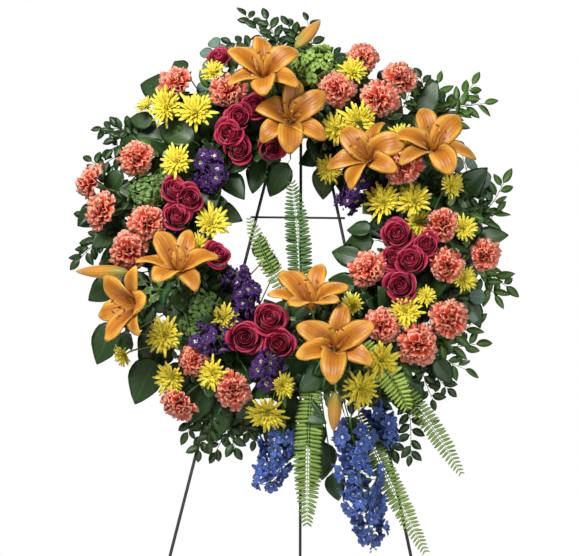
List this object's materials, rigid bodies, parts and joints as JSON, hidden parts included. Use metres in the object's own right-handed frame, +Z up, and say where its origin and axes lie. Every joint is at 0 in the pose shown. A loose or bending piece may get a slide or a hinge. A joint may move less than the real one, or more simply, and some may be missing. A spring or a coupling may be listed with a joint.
{
  "type": "funeral wreath",
  "caption": "Ring of mixed flowers and foliage in a foam-filled tray, leaning on a wire easel with a folding rear leg.",
  "frame": {"origin": "on the floor, under the middle of the object's box", "axes": "+Z up, -Y towards the front of the flowers, +X to the viewer's right"},
  "size_m": [0.8152, 0.7122, 1.4107],
  "materials": {
    "enamel_wire": "dark green-black gloss enamel",
    "tray_plastic": "moulded dark green, matte",
    "tie_plastic": "dark green, satin",
    "floral_foam": "fine-celled green foam, matte",
    "lily_petal": "waxy orange petal, yellower towards its edges",
    "carnation_petal": "soft coral petal with paler rims and redder streaks",
    "rose_petal": "velvety magenta petal, darker in its folds",
    "chrysanthemum_petal": "bright yellow ray florets round an olive centre",
    "stock_petal": "crumpled violet petals with pale throats",
    "hydrangea_petal": "lime green sepals",
    "delphinium_petal": "mid blue sepals with pale bees",
    "fern_frond": "thin fresh green frond, satin",
    "leaf": "glossy dark green leaf"
  },
  "bodies": {
    "stand": {"carnations_1": "carnation_petal", "carnations_10": "carnation_petal", "carnations_2": "carnation_petal", "carnations_3": "carnation_petal", "carnations_4": "carnation_petal", "carnations_5": "carnation_petal", "carnations_6": "carnation_petal", "carnations_7": "carnation_petal", "carnations_8": "carnation_petal", "carnations_9": "carnation_petal", "chrysanthemums_1": "chrysanthemum_petal", "chrysanthemums_2": "chrysanthemum_petal", "chrysanthemums_3": "chrysanthemum_petal", "chrysanthemums_4": "chrysanthemum_petal", "chrysanthemums_5": "chrysanthemum_petal", "chrysanthemums_6": "chrysanthemum_petal", "chrysanthemums_7": "chrysanthemum_petal", "chrysanthemums_8": "chrysanthemum_petal", "delphinium_1": "delphinium_petal", "delphinium_2": "delphinium_petal", "ferns_1": "fern_frond", "ferns_2": "fern_frond", "ferns_3": "fern_frond", "foam_ring": "floral_foam", "green_hydrangea_1": "hydrangea_petal", "green_hydrangea_2": "hydrangea_petal", "green_hydrangea_3": "hydrangea_petal", "greenery_left": "leaf", "greenery_lower_left": "leaf", "greenery_lower_right": "leaf", "greenery_right": "leaf", "greenery_top": "leaf", "greenery_upper_left": "leaf", "greenery_upper_right": "leaf", "hinge_bar": "enamel_wire", "left_hook": "enamel_wire", "left_leg": "enamel_wire", "left_tie": "tie_plastic", "lily_1": "lily_petal", "lily_2": "lily_petal", "lily_3": "lily_petal", "lily_4": "lily_petal", "lily_5": "lily_petal", "lily_6": "lily_petal", "lily_7": "lily_petal", "lily_8": "lily_petal", "rest_bar": "enamel_wire", "right_hook": "enamel_wire", "right_leg": "enamel_wire", "right_tie": "tie_plastic", "ring_tray": "tray_plastic", "spray_roses_1": "rose_petal", "spray_roses_2": "rose_petal", "spray_roses_3": "rose_petal", "spray_roses_4": "rose_petal", "stock_1": "stock_petal", "stock_2": "stock_petal", "stock_3": "stock_petal", "upper_crossbar": "enamel_wire"},
    "rear_leg": {"rear_leg": "enamel_wire"}
  },
  "joints": [
    {"name": "rear_leg_fold", "type": "hinge", "parent": "stand", "child": "rear_leg", "pos_m": [0.0075, -0.0026, 1.328], "axis": [-1, 0, 0], "range_deg": [0, 24]}
  ]
}
